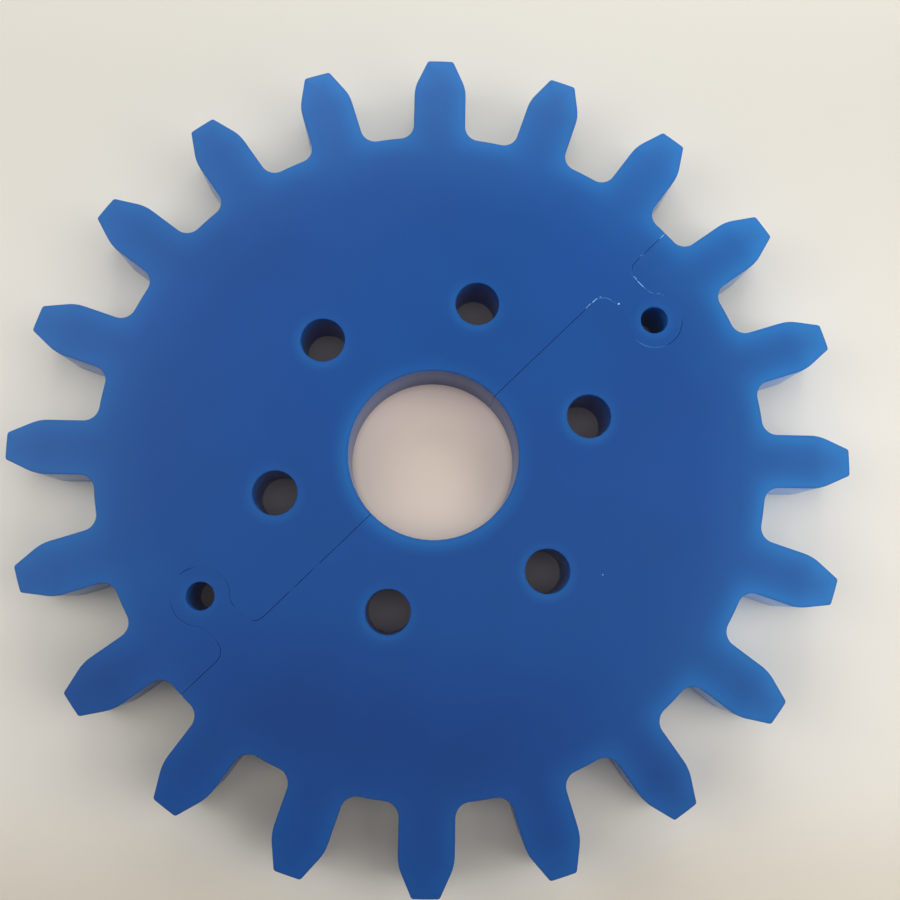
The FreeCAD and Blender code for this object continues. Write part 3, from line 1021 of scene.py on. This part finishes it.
@dataclass(frozen=True)
class FloorPaper:
    """Pale paper with painted light and shade: warmer in the bore, dim under the plate, deeper towards the
    window.

    Bands are in metres from the shaft or along a bearing from it. Close to the teeth the paper is darker on
    the side away from the window, a painted shadow, and lighter elsewhere, a painted light, and further out
    that side has low_tint, a painted shade. bore_light is a painted glow, added in the bore on the window's
    side. Only the camera sees it, so it puts no light on the plate.
    """

    plain: str = "EEE8DD"
    # Painted shade: the paper deeper towards the window.
    far: str = "D2CEC4"
    # Painted light: the paper lighter and warmer in the bore.
    bore_painted_light: str = "FFEAD4"
    # Painted shadow under the plate.
    under: str = "9E9696"
    # Painted glow in the bore, seen only by the camera.
    bore_light: str = "605453"
    black: str = "000000"
    # Painted warm tint of the shadow close to the teeth.
    close_tint: Tint = (1.03, 1.0, 0.92)
    # Painted shade further out, on the side away from the window.
    low_tint: Tint = (0.89, 0.86, 0.80)
    slope_bearing: float = 45.9
    slope_band: Band = (-20.0 * MM, 150.0 * MM)
    shade_bearing: float = 36.0
    shade_band: Band = (-116.0 * MM, -98.0 * MM)
    # Painted shadow away from the window and painted light elsewhere, close to the teeth.
    shade_gain: Band = (-0.20, 0.10)
    close_band: Band = (132.0 * MM, 108.0 * MM)
    low_band: Band = (-90.0 * MM, -140.0 * MM)
    low_reach: Band = (125.0 * MM, 145.0 * MM)
    under_band: Band = (94.0 * MM, 88.0 * MM)
    bore_band: Band = (29.0 * MM, 23.0 * MM)
    bore_light_band: Band = (-8.0 * MM, 18.0 * MM)
    roughness: float = 0.75
    gloss: float = 0.25

    def along(self, wiring: Wiring, place: Value, bearing: float) -> Value:
        """Tells how far a point lies along a bearing from the shaft."""
        return wiring.parts(wiring.stretch(place, (1.0, 1.0, 1.0), -bearing))["X"]

    def material(self, name: str) -> bpy.types.Material:
        """Builds the paper.

        Args:
            name: the material's name.

        Returns:
            The material.
        """
        made, wiring, shader = new_material(name)
        place = wiring.add("ShaderNodeTexCoord").outputs["Object"]
        reach = wiring.combine("LENGTH", place)["Value"]
        # Painted shade: the paper deeper towards the window.
        slope = self.along(wiring, place, self.slope_bearing)
        paper = wiring.blend(wiring.ramp(slope, *self.slope_band), tone(self.plain), tone(self.far))

        # Painted shadow close to the teeth away from the window, painted light elsewhere, and a warm
        # painted shadow tint.
        close = wiring.ramp(reach, *self.close_band)
        from_shade = self.along(wiring, place, self.shade_bearing)
        gain = wiring.ramp(from_shade, *self.shade_band, *self.shade_gain)
        paper = wiring.blend(1.0, paper, wiring.grey(wiring.gather(1.0, (close, gain))), "MULTIPLY")
        paper = wiring.blend(close, paper, (*self.close_tint, 1.0), "MULTIPLY")
        # Painted shade further out, on the side away from the window.
        low = wiring.times(wiring.ramp(slope, *self.low_band), wiring.ramp(reach, *self.low_reach))
        paper = wiring.blend(low, paper, (*self.low_tint, 1.0), "MULTIPLY")
        # Painted shadow under the plate.
        paper = wiring.blend(wiring.ramp(reach, *self.under_band), paper, tone(self.under))
        # Painted light: the paper lighter and warmer in the bore.
        inside = wiring.ramp(reach, *self.bore_band)
        wiring.feed(shader["Base Color"], wiring.blend(inside, paper, tone(self.bore_painted_light)))

        # Painted glow in the bore, seen only by the camera.
        seen = wiring.add("ShaderNodeLightPath").outputs["Is Camera Ray"]
        bright = wiring.times(inside, wiring.ramp(slope, *self.bore_light_band))
        bright = wiring.times(bright, seen)
        wiring.feed(shader["Emission Color"], wiring.blend(bright, tone(self.black), tone(self.bore_light)))
        shader["Emission Strength"].default_value = 1.0
        shader["Roughness"].default_value = self.roughness
        shader["Specular IOR Level"].default_value = self.gloss
        return made


@dataclass(frozen=True)
class SoftLamp:
    """A square soft lamp that faces the plate: bearing and rise in degrees, power in watts, metres."""

    name: str
    bearing: float
    rise: float
    power: float
    distance: float = 0.90
    side: float = 0.60

    def hang(self) -> None:
        """Hangs the lamp and turns it to the shaft."""
        data = bpy.data.lights.new(self.name, "AREA")
        data.shape = "SQUARE"
        data.size = self.side
        data.energy = self.power
        piece = new_piece(self.name, data)
        direction = toward(self.bearing, self.rise)
        piece.location = direction * self.distance
        piece.rotation_euler = direction.to_track_quat("Z", "Y").to_euler()


@dataclass
class Studio:
    """A plain pale floor under the plate with painted light and shade, soft lamps round it and above, and a
    pale room behind.
    """

    floor_name: str = "studio_floor"
    floor_size: float = 1.7
    floor_drop: float = 0.1 * MM
    lamps: tuple[SoftLamp, ...] = (
        SoftLamp("window_lamp", 41.0, 30.0, 0.65, 0.45, 0.30),
        SoftLamp("window_right_lamp", 8.0, 30.0, 0.48, 0.45, 0.30),
        SoftLamp("window_left_lamp", 75.0, 30.0, 0.34, 0.45, 0.30),
        SoftLamp("left_near_lamp", 118.0, 30.0, 0.34, 0.45, 0.30),
        SoftLamp("right_low_lamp", 300.0, 22.0, 0.47, 0.50, 0.30),
        SoftLamp("front_low_lamp", 270.0, 22.0, 0.27, 0.50, 0.30),
        SoftLamp("left_lamp", 135.0, 50.0, 1.66),
        SoftLamp("right_lamp", 315.0, 50.0, 2.16),
        SoftLamp("top_lamp", 0.0, 90.0, 1.50),
    )
    room_tone: str = "E6E6EA"
    room_strength: float = 0.75

    def build_floor(self) -> None:
        """Lays the floor just below the plate and gives it its paper."""
        mesh = bpy.data.meshes.new(self.floor_name)
        shape = bmesh.new()
        bmesh.ops.create_grid(shape, x_segments=1, y_segments=1, size=self.floor_size / 2)
        bmesh.ops.translate(shape, verts=shape.verts, vec=(0.0, 0.0, -self.floor_drop))
        shape.to_mesh(mesh)
        shape.free()
        mesh.materials.append(FloorPaper().material(f"{self.floor_name}_paper"))
        floor = new_piece(self.floor_name, mesh)
        LOG.info("%s: %d faces, pale paper", floor.name, len(mesh.polygons))

    def build_light(self) -> None:
        """Hangs the lamps, and shows the room pale behind the floor, with no light from it on the plate."""
        for lamp in self.lamps:
            lamp.hang()
        world = bpy.data.worlds.new("studio_room")
        world.use_nodes = True
        wiring = Wiring(world.node_tree)
        output = wiring.add("ShaderNodeOutputWorld")
        background = wiring.add("ShaderNodeBackground")
        background.inputs["Color"].default_value = tone(self.room_tone)
        seen = wiring.add("ShaderNodeLightPath").outputs["Is Camera Ray"]
        wiring.feed(background.inputs["Strength"], wiring.times(seen, self.room_strength))
        wiring.feed(output.inputs["Surface"], background.outputs[0])
        bpy.context.scene.world = world
        LOG.info("%s: pale room and %d lamps", world.name, len(self.lamps))


@dataclass
class ViewCamera:
    """The camera above the plate, about 40 mm off its axis, at the photograph's viewing angle.

    The lens and the sensor are in millimetres, and the picture's top points along top_bearing on the plate.
    """

    name: str = "view"
    place: Triple = (-30.38 * MM, -24.72 * MM, 300.79 * MM)
    aim: Triple = (4.39 * MM, -2.66 * MM, 20.0 * MM)
    top_bearing: float = 45.889
    lens: float = 38.250
    sensor: float = 36.0
    shift: tuple[float, float] = (-0.00056, 0.00056)
    clip: tuple[float, float] = (0.01, 20.0)

    def build(self) -> None:
        """Makes the camera and turns the picture's top to its bearing on the plate."""
        data = bpy.data.cameras.new(self.name)
        data.lens = self.lens
        data.sensor_width = self.sensor
        data.sensor_fit = "HORIZONTAL"
        data.shift_x, data.shift_y = self.shift
        data.clip_start, data.clip_end = self.clip
        place = Vector(self.place)
        back = (place - Vector(self.aim)).normalized()
        right = toward(self.top_bearing).cross(back).normalized()
        up = back.cross(right)
        camera = new_piece(self.name, data)
        camera.matrix_world = Matrix.Translation(place) @ Matrix((right, up, back)).transposed().to_4x4()
        bpy.context.scene.camera = camera
        LOG.info("%s: camera", camera.name)


def main() -> None:
    """Builds the scene round the frame."""
    logging.basicConfig(level=logging.INFO, format="%(message)s")
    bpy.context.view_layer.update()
    sizes = PlateSizes.from_record(frame["record"])
    SplitPlate(sizes).dress()
    SeamMarks(sizes).build()
    studio = Studio()
    studio.build_floor()
    studio.build_light()
    ViewCamera().build()
    bpy.context.scene.view_settings.view_transform = "Standard"


if __name__ == "__main__":
    main()
